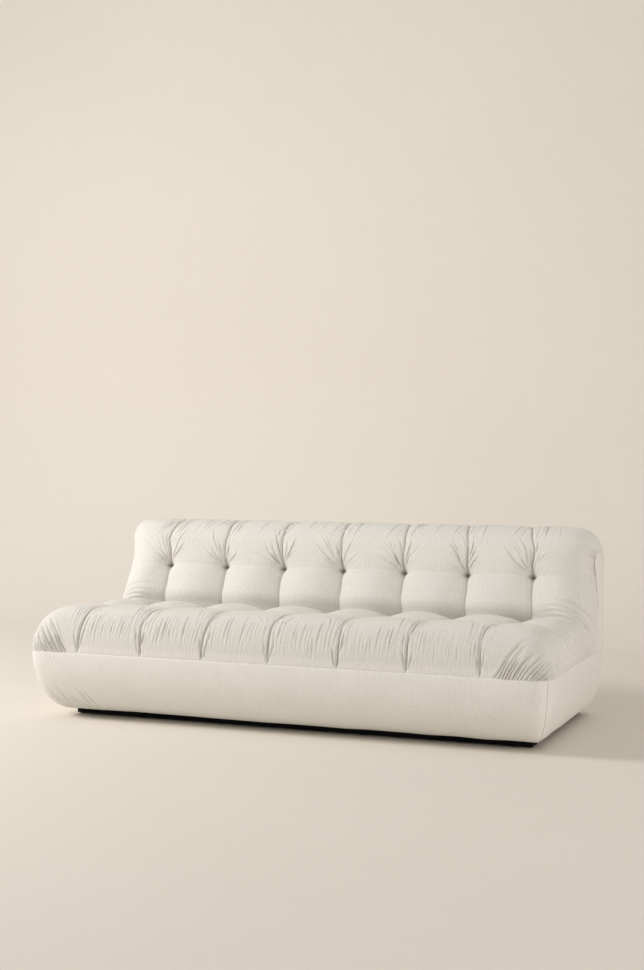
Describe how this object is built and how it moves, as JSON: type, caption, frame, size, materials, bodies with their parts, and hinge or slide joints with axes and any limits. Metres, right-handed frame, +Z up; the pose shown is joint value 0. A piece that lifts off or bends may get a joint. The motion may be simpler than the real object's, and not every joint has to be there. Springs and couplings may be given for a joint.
{
  "type": "sofa",
  "caption": "Armless upholstered sofa with a biscuit-tufted seat and raked back in ribbed corduroy, and a base that tapers to a recessed black plinth.",
  "frame": {"origin": "on the floor, under the middle of the overall width and depth", "axes": "+X along the width to the right as seen from the front, +Y to the rear, +Z up"},
  "size_m": [2.14, 1.02, 0.775],
  "materials": {
    "ivory_corduroy": "matte ribbed corduroy",
    "foam": "open-cell foam",
    "felt": "needled felt",
    "webbing": "woven elastic",
    "twine": "waxed nylon",
    "dust_cloth": "spun-bonded cloth",
    "plywood": "raw birch plywood",
    "timber": "planed softwood",
    "hardboard": "pressed hardboard",
    "black_plinth": "satin black paint",
    "steel": "zinc plated",
    "black_plastic": "moulded"
  },
  "bodies": {
    "root": {"floor_glides": "black_plastic", "plinth_front_rail": "black_plinth", "plinth_rear_rail": "black_plinth", "plinth_left_rail": "black_plinth", "plinth_right_rail": "black_plinth", "plinth_left_bearer": "black_plinth", "plinth_right_bearer": "black_plinth", "plinth_bolts": "steel", "bottom_dust_cover": "dust_cloth", "frame_rib_left_end": "plywood", "frame_rib_left": "plywood", "frame_rib_right": "plywood", "frame_rib_right_end": "plywood", "front_seat_rail": "timber", "rear_seat_rail": "timber", "bottom_front_rail": "timber", "bottom_rear_rail": "timber", "back_upper_rail": "timber", "back_lower_rail": "timber", "back_top_roll_rail": "timber", "front_facing_board": "plywood", "front_nosing_board": "plywood", "rear_facing_board": "hardboard", "rear_rail_brackets": "steel", "seat_springs": "steel", "spring_clips": "steel", "back_webbing": "webbing", "back_lining": "felt", "seat_felt_pad": "felt", "seat_tuft_twines": "twine", "back_tuft_twines": "twine", "seat_tuft_toggles": "black_plastic", "back_tuft_toggles": "black_plastic", "seat_foam": "foam", "back_foam": "foam", "left_base_foam": "foam", "right_base_foam": "foam", "left_back_end_foam": "foam", "right_back_end_foam": "foam", "front_foam": "foam", "seat_cover": "ivory_corduroy", "back_cover": "ivory_corduroy", "front_band": "ivory_corduroy", "left_end_panel": "ivory_corduroy", "right_end_panel": "ivory_corduroy", "left_back_end_panel": "ivory_corduroy", "right_back_end_panel": "ivory_corduroy", "rear_panel": "ivory_corduroy"}
  },
  "joints": []
}
